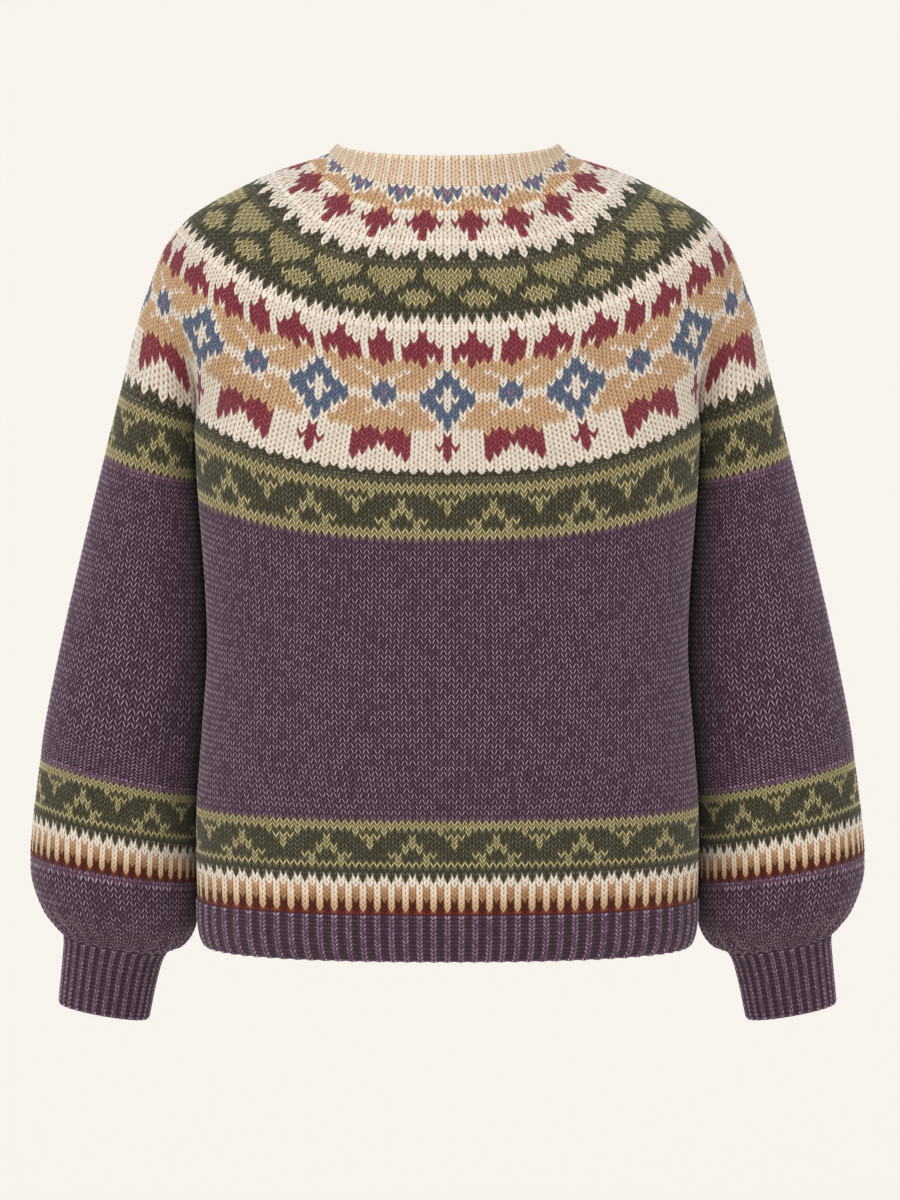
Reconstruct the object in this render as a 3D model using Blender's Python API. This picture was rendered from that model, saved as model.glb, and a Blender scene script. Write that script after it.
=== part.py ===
"""A long-sleeved fair isle yoke sweater in its worn, hollow form.

The sweater stands as if a wearer filled it: a round yoke over the shoulders, a straight
body, balloon sleeves that hang just clear of it, and ribbed collar, hem and cuffs. Each
knitted piece is a wall of real cloth, open at the neck, the hem and both cuffs.

The back faces -Y, +X is to the right of someone who looks at the back, +Z is up. The
origin is the middle of the neck, at the height where the wearer's shoulders bear the
yoke. Sizes below are in millimetres and become metres when a mesh is made. A turn is a
place round a piece: 0 at the centre back, 0.25 at the right side, 0.5 at the front.
"""

import math
from types import SimpleNamespace

import bmesh
import bpy
import numpy as np

# ---------------------------------------------------------------- driving dimensions, mm
MM = 0.001
WALL = 3.0              # two-colour knitting with the floats on its inside
SEAM_GAP = 0.3          # between two pieces that are knitted or sewn together
UNDERARM_GAP = 0.6      # between sleeve and body where they are grafted at the armpit
ARMPIT_BACK_Y = 8.0     # where the armhole crease of the back ends on the body's side
ARMPIT_FRONT_Y = 36.0
ARMPIT_BLEND = 26.0     # how far down the sleeve its inner side follows the body
BODY_SHARE = 0.75       # part of a yoke quarter that lies on the body, the rest on the arm
CREASE_SHARE = 0.008    # part of a yoke quarter that lies in the bottom of the crease
CREASE_START = 158.0    # drop from the neck seam where the armhole crease begins
CREASE_LIFT = 1.0       # how much higher than its seam the bottom of the crease stays
CREASE_TILT = 1.3       # how far the wall at the bottom of the crease turns along the ring
YOKE_DEPTH = 238.0      # drop from the neck seam to the underarm, along the centre back
UNDERARM_Z = -241.0     # height of the centre back where yoke and body meet
HEM_TOP_Z = -591.0

RIB_HEIGHT = 1.5
HEM_RIBS = 84
CUFF_RIBS = 22
COLLAR_RIBS = 90
POINTS_PER_RIB = 2      # one in the furrow, one on the rib
GATHERS = 22            # small tucks round each sleeve where the balloon meets the cuff
POINTS_PER_GATHER = 2
GATHER_HEIGHT = 2.6
GATHER_STATIONS = 2.2   # how far above the cuff the tucks have faded

YOKE_BODY_STEPS = 9     # faces of a yoke quarter along the body
YOKE_ARM_STEPS = 5      # and over the arm
UNDERARM_STEPS = 2      # faces from an armhole crease to the side seam


def table(names, *rows):
    """A short table with named columns, the first of which is the level."""
    return names.split(), np.array(rows, float)


# Rings from the collar's rim down to the underarm. The level is the drop from the neck
# seam along the centre back. A ring is highest and widest at side_y. Square is the power
# of its outline (2 is an ellipse) and lift the power with which it climbs to the side.
YOKE = table(
    "drop half_width back_y side_y front_y back_z side_z front_z square lift",
    (-23.0, 87.5, -69.0, 14.0, 79.0, 13.5, 15.5, -42.0, 2.00, 3.6),
    (0.0, 94.0, -75.0, 16.0, 86.0, -10.0, 8.5, -62.0, 2.00, 3.6),
    (59.0, 152.0, -97.0, 14.0, 104.0, -64.0, -13.0, -113.0, 2.10, 3.6),
    (107.0, 208.0, -107.0, 12.0, 112.0, -111.0, -45.0, -156.0, 2.25, 2.7),
    (173.0, 240.0, -110.0, 14.0, 117.0, -177.0, -103.0, -211.0, 2.35, 2.4),
    (YOKE_DEPTH, 262.0, -110.0, 28.5, 118.5, UNDERARM_Z, -184.0, -266.0, 2.40, 2.6),
)

# Rings of the body. The level is the height of the centre back. A knitted row climbs by
# side_rise towards the sides and sinks by front_drop at the centre front.
BODY = table(
    "level half_width back_y front_y side_rise front_drop",
    (UNDERARM_Z, 202.7, -110.0, 118.3, 34.0, 24.5),
    (-266.0, 201.3, -109.5, 119.0, 27.0, 21.5),
    (-290.0, 199.5, -108.5, 118.0, 21.5, 18.0),
    (-340.0, 195.0, -106.5, 114.0, 13.5, 12.0),
    (-395.0, 192.5, -105.5, 110.5, 7.0, 7.0),
    (-460.0, 197.0, -108.0, 111.0, 2.5, 3.0),
    (-514.0, 201.0, -111.0, 113.5, 0.0, 0.0),
    (HEM_TOP_Z, 200.5, -111.0, 113.0, 0.0, 0.0),
    (-612.0, 199.5, -110.5, 112.5, 0.0, 0.0),
    (-623.0, 197.0, -108.5, 110.5, 0.0, 0.0),
    (-629.5, 193.5, -105.5, 107.5, 0.0, 0.0),
)
BODY_SIDE_Y = 0.0
BODY_SQUARE = 2.3
BODY_LIFT = 2.6

# Rings of the right sleeve, from the underarm to the cuff's edge, given by where each
# crosses the outer and the inner side of the arm. The first ring ends the yoke.
SLEEVE = table(
    "station out_x out_z in_x in_z centre_y half_depth",
    (0, 262.0, -184.0, 203.8, -205.5, 30.5, 50.0),
    (1, 275.5, -239.0, 200.5, -258.0, 34.0, 51.0),
    (2, 292.5, -310.0, 195.5, -325.0, 38.0, 54.0),
    (3, 309.0, -382.0, 192.5, -400.0, 41.0, 57.0),
    (4, 323.0, -451.0, 196.0, -475.0, 43.0, 60.0),
    (5, 328.0, -487.0, 199.0, -515.0, 44.0, 61.5),
    (6, 333.5, -531.0, 200.0, -557.0, 45.0, 62.0),
    (7, 336.0, -563.0, 200.0, -584.0, 45.5, 61.5),
    (8, 334.0, -585.0, 200.5, -603.0, 46.0, 59.5),
    (9, 325.5, -606.0, 204.0, -621.0, 46.5, 53.5),
    (10, 315.0, -619.5, 213.5, -634.0, 47.0, 43.0),
    (11, 308.5, -628.5, 228.0, -642.0, 47.0, 35.5),
    (12, 309.0, -646.0, 235.0, -660.0, 47.0, 33.5),
    (13, 312.5, -683.0, 242.5, -695.5, 46.0, 32.5),
)
SLEEVE_SQUARE = 2.1
CUFF_STATION = 11.0
CUFF_END = 13.0

# Soft folds of the filled cloth. From level_0 to level_1 a fold runs from turn_0 to
# turn_1, half as wide as width says on each side, and lies height out of the surface.
FOLD_COLUMNS = "turn_0 turn_1 level_0 level_1 width height"
BODY_FOLDS = table(
    FOLD_COLUMNS,
    (0.180, 0.120, -300.0, -455.0, 0.022, -3.2),
    (0.150, 0.070, -330.0, -500.0, 0.024, 2.6),
    (0.828, 0.886, -310.0, -470.0, 0.022, -3.0),
    (0.862, 0.940, -350.0, -510.0, 0.022, 2.4),
    (0.325, 0.385, -315.0, -450.0, 0.022, -3.2),
    (0.360, 0.430, -345.0, -505.0, 0.024, 2.6),
    (0.672, 0.610, -320.0, -465.0, 0.022, -3.0),
    (0.640, 0.560, -350.0, -500.0, 0.022, 2.4),
)
SLEEVE_FOLDS = table(
    FOLD_COLUMNS,
    (0.120, 0.250, 1.8, 3.6, 0.045, -3.2),
    (0.080, 0.190, 2.7, 4.6, 0.040, -3.0),
    (0.880, 0.740, 1.9, 3.8, 0.045, -3.2),
    (0.930, 0.820, 2.8, 4.5, 0.040, -2.8),
    (0.300, 0.380, 4.6, 7.4, 0.050, 2.6),
    (0.660, 0.590, 4.4, 7.6, 0.050, 2.6),
)

# Where the smooth pieces have their rings, between their first and last.
YOKE_DROPS = (20.0, 40.0, 60.0, 84.0, 108.0, 135.0, CREASE_START, 184.0, 211.0)
BODY_LEVELS = (-264.0, -290.0, -332.0, -378.0, -424.0, -470.0, -520.0)
SLEEVE_STATIONS = (0.5, 1.3, 2.3, 3.3, 4.4, 6.0, 7.5, 8.7, 9.6, 10.3)

# The rings of the ribbed pieces, and how far their walls round off towards the open edge.
COLLAR_EDGE = table("drop rounding", (-SEAM_GAP / 2, 0.0), (-10.0, 0.0), (-21.0, 0.2), (-23.0, 1.0))
HEM_EDGE = table("level rounding", (HEM_TOP_Z, 0.0), (-608.0, 0.0), (-624.0, 0.3), (-629.5, 1.2))
CUFF_EDGE = table("station rounding", (CUFF_STATION, 0.0), (11.8, 0.0), (12.85, 0.3), (CUFF_END, 1.2))

# Linear base colours of the wools that the pieces mostly show, and how rough they are.
CREAM_WOOL = ("cream_wool", (0.87, 0.80, 0.69), 0.90)
HEATHER_WOOL = ("heather_wool", (0.088, 0.042, 0.093), 0.92)


# ------------------------------------------------------------------------- ring geometry
def read(tab, level):
    """The table's row at any level, each column a smooth curve through its rows."""
    names, rows = tab
    levels = rows[:, 0]
    sign = 1.0 if levels[-1] > levels[0] else -1.0
    i = int(np.clip(np.searchsorted(sign * levels, sign * level) - 1, 0, len(levels) - 2))
    span = levels[i + 1] - levels[i]
    t = (level - levels[i]) / span
    slopes = np.gradient(rows, levels, axis=0)
    values = (
        rows[i] * (2 * t**3 - 3 * t**2 + 1)
        + rows[i + 1] * (3 * t**2 - 2 * t**3)
        + slopes[i] * span * (t**3 - 2 * t**2 + t)
        + slopes[i + 1] * span * (t**3 - t**2)
    )
    return SimpleNamespace(**dict(zip(names, values)))


def ease(value):
    """0 below 0, 1 above 1, and a soft step between."""
    value = np.clip(value, 0.0, 1.0)
    return value * value * (3.0 - 2.0 * value)


def even(points, shares):
    """The points at the given shares of a polyline's length."""
    steps = np.linalg.norm(np.diff(points, axis=0), axis=1)
    length = np.concatenate([[0.0], np.cumsum(steps)])
    wanted = np.asarray(shares) * length[-1]
    return np.stack([np.interp(wanted, length, points[:, k]) for k in range(3)], axis=1)


def mirrored(right_half, turns):
    """Points at any turns, from a function that knows the half from turn 0 to 0.5."""
    turns = np.asarray(turns, float) % 1.0
    left = turns > 0.5
    points = right_half(np.where(left, 1.0 - turns, turns))
    points[left, 0::3] *= -1.0
    return points


def torso_arc(ring, front, count=240):
    """A quarter of a torso ring, from the centre back or front to the right side."""
    angle = np.linspace(0.0, math.pi / 2, count)
    power = 2.0 / ring.square
    x = ring.half_width * np.sin(angle) ** power
    middle_y, middle_z = (ring.front_y, ring.front_z) if front else (ring.back_y, ring.back_z)
    y = ring.side_y + (middle_y - ring.side_y) * np.abs(np.cos(angle)) ** power
    z = middle_z + (ring.side_z - middle_z) * (x / ring.half_width) ** ring.lift
    return np.stack([x, y, z], axis=1)


def body_row(level):
    """The body's section at a level, in the same terms as a ring of the yoke."""
    row = read(BODY, level)
    return SimpleNamespace(
        half_width=row.half_width, back_y=row.back_y, front_y=row.front_y, side_y=BODY_SIDE_Y,
        back_z=level, side_z=level + row.side_rise, front_z=level - row.front_drop,
        square=BODY_SQUARE, lift=BODY_LIFT,
    )


def body_half(level):
    """The right half of a body ring, from the centre back to the centre front."""
    ring = body_row(level)
    return np.vstack([torso_arc(ring, False), torso_arc(ring, True)[-2::-1]])


def body_turn(y):
    """The turn at which the side of the body's first ring passes the depth y."""
    half = body_half(UNDERARM_Z)
    length = np.cumsum(np.linalg.norm(np.diff(half, axis=0, prepend=half[:1]), axis=1))
    return 0.5 * float(np.interp(y, half[:, 1], length)) / length[-1]


def body_side_x(y, level):
    """How far out the body reaches at a depth y."""
    ring = body_row(level)
    reach = np.where(y < ring.side_y, ring.side_y - ring.back_y, ring.front_y - ring.side_y)
    share = np.clip(np.abs(y - ring.side_y) / reach, 0.0, 1.0)
    return ring.half_width * (1.0 - share**ring.square) ** (1.0 / ring.square)


def sleeve_loop(station, count=320):
    """A closed ring of the right sleeve: underarm, back of the arm, outer side, front."""
    row = read(SLEEVE, station)
    angle = np.linspace(0.0, 2 * math.pi, count + 1)
    power = 2.0 / SLEEVE_SQUARE
    across = -np.sign(np.cos(angle)) * np.abs(np.cos(angle)) ** power
    deep = -np.sign(np.sin(angle)) * np.abs(np.sin(angle)) ** power
    x = (row.out_x + row.in_x) / 2 + across * (row.out_x - row.in_x) / 2
    z = (row.out_z + row.in_z) / 2 + across * (row.out_z - row.in_z) / 2
    y = row.centre_y + deep * row.half_depth
    # Near the armpit the inner side lies against the body.
    first = read(SLEEVE, 0.0)
    down = math.hypot(row.out_x - first.out_x, row.out_z - first.out_z)
    near = math.exp(-((down / ARMPIT_BLEND) ** 2))
    armpit_half = (ARMPIT_FRONT_Y - ARMPIT_BACK_Y) / 2
    off_centre = np.abs(y - (ARMPIT_FRONT_Y + ARMPIT_BACK_Y) / 2) / armpit_half
    inner = np.where(across < 0, 1.0 - ease((off_centre - 1.0) / 1.1), 0.0)
    against_body = body_side_x(y, UNDERARM_Z - down) + UNDERARM_GAP
    hug = near * inner * (against_body - x)
    x = x + hug
    z = z + hug * (row.out_z - row.in_z) / (row.out_x - row.in_x)
    return np.stack([x, y, z], axis=1)


def sleeve_turn(front):
    """The turn at which the first sleeve ring leaves the armpit, and that of its outside."""
    loop = sleeve_loop(0.0)
    length = np.cumsum(np.linalg.norm(np.diff(loop, axis=0, prepend=loop[:1]), axis=1))
    outside = len(loop) // 2
    y = loop[:, 1]
    if front:
        leaves = outside + np.argmax(y[outside:] == y.max())
        back_in = leaves + np.argmax(y[leaves:] < ARMPIT_FRONT_Y)
        return length[back_in] / length[-1], length[outside] / length[-1]
    leaves = np.argmax(y < ARMPIT_BACK_Y)
    return length[leaves] / length[-1], length[outside] / length[-1]


def armhole_places(shares, front):
    """Where a yoke quarter's columns end: on the body or the arm, and at which turn."""
    armpit = body_turn(ARMPIT_FRONT_Y if front else ARMPIT_BACK_Y)
    centre = 0.5 if front else 0.0
    along = np.clip(shares / BODY_SHARE, 0.0, 1.0)
    leaves, outside = sleeve_turn(front)
    start = BODY_SHARE + CREASE_SHARE
    over = np.clip((shares - start) / (1.0 - start), 0.0, 1.0)
    on_body = (shares <= BODY_SHARE + 1e-6)[:, None]
    return on_body, centre + (armpit - centre) * along, leaves + (outside - leaves) * over


def armhole_quarter(shares, front):
    """A yoke quarter at the underarm: along the body, into the crease and over the arm."""
    on_body, body_turns, arm_turns = armhole_places(shares, front)
    return np.where(on_body, body_ring(UNDERARM_Z, body_turns), sleeve_ring(0.0, arm_turns))


def armhole_wall_quarter(shares, front):
    """Outward directions at the underarm, and how far its seam stands off, six columns."""
    on_body, body_turns, arm_turns = armhole_places(shares, front)
    facing = np.where(
        on_body,
        normals(body_ring, UNDERARM_Z, body_turns, down=STRAIGHT_DOWN),
        normals(sleeve_ring, 0.0, arm_turns, down=sleeve_axis(0.0)),
    )
    # Round the bottom of the crease the wall turns away from the opening of the crease.
    opening = CREASE_TILT * np.where(
        on_body, -tangents(body_ring, UNDERARM_Z, body_turns), tangents(sleeve_ring, 0.0, arm_turns)
    )
    in_crease = (np.abs(shares - BODY_SHARE - CREASE_SHARE / 2) < 0.6 * CREASE_SHARE)[:, None]
    facing = np.where(in_crease, unit(facing + (-opening if front else opening)), facing)
    stand_off = SEAM_GAP / 2 + CREASE_LIFT * in_crease
    return np.hstack([facing, -stand_off * np.where(on_body, STRAIGHT_DOWN, sleeve_axis(0.0))])


def yoke_quarter(drop, shares, front):
    """A yoke quarter at any drop. Below CREASE_START it folds into the armhole crease."""
    plain = even(torso_arc(read(YOKE, drop), front), shares)
    crease = ease((drop - CREASE_START) / (YOKE_DEPTH - CREASE_START))
    if crease == 0.0:
        return plain
    last = even(torso_arc(read(YOKE, YOKE_DEPTH), front), shares)
    return plain + crease * (armhole_quarter(shares, front) - last)


def four_quarters(quarter, turns):
    """Values round the yoke, from a function of a quarter's shares and its side."""
    def right_half(turn):
        back = quarter(np.clip(turn / 0.25, 0.0, 1.0), False)
        front = quarter(np.clip((0.5 - turn) / 0.25, 0.0, 1.0), True)
        return np.where((turn <= 0.25)[:, None], back, front)
    return mirrored(right_half, turns)


def yoke_ring(drop, turns):
    return four_quarters(lambda shares, front: yoke_quarter(drop, shares, front), turns)


def body_ring(level, turns):
    return mirrored(lambda turn: even(body_half(level), 2.0 * turn), turns)


def sleeve_ring(station, turns):
    return even(sleeve_loop(station), np.asarray(turns) % 1.0)


def sleeve_axis(station):
    """The direction in which the sleeve runs, square to its ring."""
    row = read(SLEEVE, station)
    across = np.array([row.out_x - row.in_x, 0.0, row.out_z - row.in_z])
    return unit(np.cross(across, [0.0, 1.0, 0.0])) * -1.0


# ------------------------------------------------------------------------ walls of cloth
STRAIGHT_DOWN = np.array([0.0, 0.0, -1.0])


def unit(vectors):
    return vectors / np.linalg.norm(vectors, axis=-1, keepdims=True)


def tangents(ring, level, turns, nudge=1e-3):
    return unit(ring(level, turns + nudge) - ring(level, turns - nudge))


def normals(ring, level, turns, step=0.0, down=None):
    """Outward directions of a ring, across its own line and the way the piece runs."""
    if down is None:
        down = ring(level + step, turns) - ring(level - step, turns)
    return unit(np.cross(down, tangents(ring, level, turns)))


def fold_offsets(folds, level, turns):
    """How far the folds push a ring out of its surface."""
    total = np.zeros(len(turns))
    for turn_0, turn_1, level_0, level_1, width, height in folds[1]:
        run = (level - level_0) / (level_1 - level_0)
        if 0.0 < run < 1.0:
            aside = (turns - (turn_0 + (turn_1 - turn_0) * run)) / width
            total += height * math.sin(math.pi * run) ** 2 * np.exp(-aside**2)
    return total


def ripples(count, points_each):
    """0 in each furrow and 1 on each rib or tuck, round a whole piece."""
    return np.tile([0.0] + [1.0] * (points_each - 1), count)


def centres(count):
    """Turns of evenly spaced columns round a closed piece."""
    return np.arange(count) / count


def wall(outer, inner, closed):
    """A closed mesh of the outer points, the inner points and the edges between them."""
    mesh = bmesh.new()
    rows, columns = outer.shape[:2]
    skins = [
        [[mesh.verts.new(point * MM) for point in row] for row in skin] for skin in (outer, inner)
    ]
    pairs = [(c, (c + 1) % columns) for c in range(columns if closed else columns - 1)]

    def face(*corners):
        mesh.faces.new(corners)

    for a, b in pairs:
        for r in range(rows - 1):
            face(skins[0][r][a], skins[0][r + 1][a], skins[0][r + 1][b], skins[0][r][b])
            face(skins[1][r][b], skins[1][r + 1][b], skins[1][r + 1][a], skins[1][r][a])
        face(skins[0][0][a], skins[0][0][b], skins[1][0][b], skins[1][0][a])
        face(skins[0][-1][b], skins[0][-1][a], skins[1][-1][a], skins[1][-1][b])
    if not closed:
        for r in range(rows - 1):
            first, last = 0, columns - 1
            face(skins[0][r + 1][first], skins[0][r][first], skins[1][r][first], skins[1][r + 1][first])
            face(skins[0][r][last], skins[0][r + 1][last], skins[1][r + 1][last], skins[1][r][last])
    return mesh


def finish(mesh, name, wool):
    """Turn a closed mesh into a named object with its own material."""
    bmesh.ops.triangulate(mesh, faces=mesh.faces[:], quad_method="SHORT_EDGE")
    data = bpy.data.meshes.new(name)
    mesh.to_mesh(data)
    mesh.free()
    data.shade_smooth()
    data.set_sharp_from_angle(angle=math.radians(50))
    finish_name, colour, roughness = wool
    material = bpy.data.materials.new(f"{finish_name}_{name}")
    material.use_nodes = True
    shader = material.node_tree.nodes["Principled BSDF"]
    shader.inputs["Base Color"].default_value = (*colour, 1.0)
    shader.inputs["Roughness"].default_value = roughness
    shader.inputs["Metallic"].default_value = 0.0
    data.materials.append(material)
    piece = bpy.data.objects.new(name, data)
    bpy.context.scene.collection.objects.link(piece)
    return piece


def mirror_x(points):
    """The same piece on the left: x changes sign and the columns run the other way."""
    return points[:, ::-1] * np.array([-1.0, 1.0, 1.0])


# -------------------------------------------------------------------------------- pieces
def yoke_turns():
    """Turns of the yoke's columns: even along the body and over each arm."""
    body = np.linspace(0.0, BODY_SHARE, YOKE_BODY_STEPS + 1)
    arm = np.linspace(BODY_SHARE + CREASE_SHARE, 1.0, YOKE_ARM_STEPS + 1)
    quarter = np.concatenate([body, arm]) * 0.25
    half = np.concatenate([quarter, 0.5 - quarter[-2::-1]])
    return np.concatenate([half, 1.0 - half[-2:0:-1]])


def body_turns():
    """Turns of the right side's body columns, which meet the yoke's columns."""
    back, side = body_turn(ARMPIT_BACK_Y), body_turn((ARMPIT_BACK_Y + ARMPIT_FRONT_Y) / 2)
    front = body_turn(ARMPIT_FRONT_Y)
    to_back = np.linspace(0.0, back, YOKE_BODY_STEPS + 1)
    back_under = np.linspace(back, side, UNDERARM_STEPS + 1)[1:]
    front_under = np.linspace(side, front, UNDERARM_STEPS + 1)[:-1]
    to_front = np.linspace(front, 0.5, YOKE_BODY_STEPS + 1)
    return np.concatenate([to_back, back_under]), np.concatenate([front_under, to_front])


def neck_seam(drop):
    """The coarse ring, outside and inside, along which collar and yoke are joined."""
    turns = yoke_turns()
    outer = yoke_ring(drop, turns)
    return outer, outer - WALL * normals(yoke_ring, 0.0, turns, 4.0)


def between_columns(ring, turns):
    """Points at any turns on the straight edges of the yoke's coarse ring."""
    knots = np.append(yoke_turns(), 1.0)
    closed = np.vstack([ring, ring[:1]])
    return np.stack([np.interp(turns, knots, closed[:, k]) for k in range(3)], axis=1)


def make_yoke():
    turns = yoke_turns()
    outer, inner = map(list, zip(neck_seam(SEAM_GAP / 2)))
    for drop in YOKE_DROPS:
        points = yoke_ring(drop, turns)
        outer.append(points)
        inner.append(points - WALL * normals(yoke_ring, drop, turns, 4.0))
    facing, stand_off = np.hsplit(four_quarters(armhole_wall_quarter, turns), 2)
    points = yoke_ring(YOKE_DEPTH, turns) + stand_off
    outer.append(points)
    inner.append(points - WALL * facing)
    finish(wall(np.array(outer), np.array(inner), closed=True), "yoke", CREAM_WOOL)


def make_collar():
    count = COLLAR_RIBS * POINTS_PER_RIB
    turns = centres(count)
    raised = RIB_HEIGHT * ripples(COLLAR_RIBS, POINTS_PER_RIB)[:, None]
    outer, inner = [], []
    for drop, rounding in COLLAR_EDGE[1]:
        if drop == -SEAM_GAP / 2:
            base, lining = (between_columns(ring, turns) for ring in neck_seam(drop))
            facing = unit(base - lining)
        else:
            base = yoke_ring(drop, turns)
            facing = normals(yoke_ring, drop, turns, 4.0)
            lining = base - (WALL - rounding) * facing
        outer.append(base + (raised - rounding) * facing)
        inner.append(lining)
    piece = wall(np.array(outer[::-1]), np.array(inner[::-1]), closed=True)
    finish(piece, "collar_rib", CREAM_WOOL)


def make_body(side):
    """The back or the front panel, from the yoke to the hem rib."""
    back, front = body_turns()
    if side == "back":
        turns = np.concatenate([-back[:0:-1], back])
    else:
        turns = np.concatenate([front, 1.0 - front[-2::-1]])
    outer, inner = [], []
    for level in (UNDERARM_Z, *BODY_LEVELS, HEM_TOP_Z):
        first, last = level == UNDERARM_Z, level == HEM_TOP_Z
        base = body_ring(level, turns)
        if first:
            base = base - np.array([0.0, 0.0, SEAM_GAP / 2])
        if last:
            base = base + np.array([0.0, 0.0, SEAM_GAP / 2])
        facing = normals(body_ring, level, turns, -2.0, down=STRAIGHT_DOWN if first or last else None)
        # The side seams leave half a gap to the other panel, along the seam's ring.
        along = tangents(body_ring, level, turns)
        base[0] += along[0] * SEAM_GAP / 2
        base[-1] -= along[-1] * SEAM_GAP / 2
        points = base + fold_offsets(BODY_FOLDS, level, turns % 1.0)[:, None] * facing
        outer.append(points)
        inner.append(points - WALL * facing)
    finish(wall(np.array(outer), np.array(inner), closed=False), f"body_{side}", HEATHER_WOOL)


def make_hem(side):
    """Half of the hem's 1x1 rib, from side seam to side seam."""
    count = HEM_RIBS // 2 * POINTS_PER_RIB
    seam = body_turn((ARMPIT_BACK_Y + ARMPIT_FRONT_Y) / 2)
    start, end = (-seam, seam) if side == "back" else (seam, 1.0 - seam)
    turns = np.linspace(start, end, count + 1)
    raised = RIB_HEIGHT * np.append(ripples(HEM_RIBS // 2, POINTS_PER_RIB), 0.0)[:, None]
    outer, inner = [], []
    for level, rounding in HEM_EDGE[1]:
        base = body_ring(level, turns)
        first = level == HEM_TOP_Z
        if first:
            base = base - np.array([0.0, 0.0, SEAM_GAP / 2])
        facing = normals(body_ring, level, turns, down=STRAIGHT_DOWN)
        along = tangents(body_ring, level, turns)
        base[0] += along[0] * SEAM_GAP / 2
        base[-1] -= along[-1] * SEAM_GAP / 2
        outer.append(base + (raised - rounding) * facing)
        inner.append(base - (WALL - rounding) * facing)
    finish(wall(np.array(outer), np.array(inner), closed=False), f"hem_rib_{side}", HEATHER_WOOL)


def make_sleeve(side):
    count = GATHERS * POINTS_PER_GATHER
    turns = centres(count)
    tucks = GATHER_HEIGHT * (ripples(GATHERS, POINTS_PER_GATHER) - 0.5)
    outer, inner = [], []
    for station in (0.0, *SLEEVE_STATIONS, CUFF_STATION):
        base = sleeve_ring(station, turns)
        if station == 0.0:
            base = base + sleeve_axis(station) * SEAM_GAP / 2
        if station == CUFF_STATION:
            base = base - sleeve_axis(station) * SEAM_GAP / 2
        facing = normals(sleeve_ring, station, turns, down=sleeve_axis(station))
        gathered = 1.0 - abs(station - (CUFF_STATION - 0.9)) / GATHER_STATIONS
        gathered = ease(gathered) if station < CUFF_STATION else 0.0
        points = base + (fold_offsets(SLEEVE_FOLDS, station, turns) + gathered * tucks)[:, None] * facing
        outer.append(points)
        inner.append(points - WALL * facing)
    outer, inner = np.array(outer), np.array(inner)
    if side == "left":
        outer, inner = mirror_x(outer), mirror_x(inner)
    finish(wall(outer, inner, closed=True), f"sleeve_{side}", HEATHER_WOOL)


def make_cuff(side):
    turns = centres(CUFF_RIBS * POINTS_PER_RIB)
    raised = RIB_HEIGHT * ripples(CUFF_RIBS, POINTS_PER_RIB)[:, None]
    outer, inner = [], []
    for station, rounding in CUFF_EDGE[1]:
        base = sleeve_ring(station, turns)
        if station == CUFF_STATION:
            base = base + sleeve_axis(station) * SEAM_GAP / 2
        facing = normals(sleeve_ring, station, turns, down=sleeve_axis(station))
        outer.append(base + (raised - rounding) * facing)
        inner.append(base - (WALL - rounding) * facing)
    outer, inner = np.array(outer), np.array(inner)
    if side == "left":
        outer, inner = mirror_x(outer), mirror_x(inner)
    finish(wall(outer, inner, closed=True), f"cuff_{side}", HEATHER_WOOL)


def main():
    for leftover in list(bpy.data.objects):
        bpy.data.objects.remove(leftover)
    make_collar()
    make_yoke()
    for side in ("back", "front"):
        make_body(side)
        make_hem(side)
    for side in ("left", "right"):
        make_sleeve(side)
        make_cuff(side)


main()
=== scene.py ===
# %% [markdown]
# # A fair isle yoke sweater, knitted stitch by stitch
#
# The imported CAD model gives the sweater's hollow form. This script lays a knitted fabric over
# that form: every stitch is a small V of two swollen legs, and short charts say which wool
# each stitch is knitted with. Sizes are in millimetres until a mesh is made.
#
# A texture on a smooth tube could give the same pattern, but its edge would stay smooth, and
# an exported mesh would lose the stitches. So the stitches are geometry here.

# %% [markdown]
# ## Load the frame
# They stay fixed, and the knitted pieces replace them.

import math
from types import SimpleNamespace

import bpy
import numpy as np
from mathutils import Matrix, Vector


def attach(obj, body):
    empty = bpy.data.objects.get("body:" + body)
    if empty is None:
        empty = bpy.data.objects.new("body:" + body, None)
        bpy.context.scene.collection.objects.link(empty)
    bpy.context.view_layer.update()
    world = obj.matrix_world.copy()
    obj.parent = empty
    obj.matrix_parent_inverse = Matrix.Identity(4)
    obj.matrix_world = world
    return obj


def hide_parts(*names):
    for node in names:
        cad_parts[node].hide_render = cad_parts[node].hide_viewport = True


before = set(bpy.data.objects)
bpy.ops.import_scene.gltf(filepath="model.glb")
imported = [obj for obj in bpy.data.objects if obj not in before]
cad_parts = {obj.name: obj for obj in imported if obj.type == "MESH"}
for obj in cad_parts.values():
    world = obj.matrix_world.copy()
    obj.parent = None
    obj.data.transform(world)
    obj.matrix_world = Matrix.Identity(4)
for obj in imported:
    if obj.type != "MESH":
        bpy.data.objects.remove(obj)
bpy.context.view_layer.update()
print("nodes:", sorted(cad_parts))

# %% [markdown]
# ## The sweater's form
# The real sweater is three tubes, a body and two sleeves, that one round yoke joins. It could
# be sculpted, but a knitter thinks in rounds, and so does this form: it is a stack of rings.
# Each table lists rings by name and number, and a smooth curve runs through its rows. A *turn*
# is a place round a piece: 0 at the centre back, 0.25 at the right side, 0.5 at the centre
# front. On a sleeve, 0 is at the underarm. The back faces -Y, towards the camera.

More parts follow.
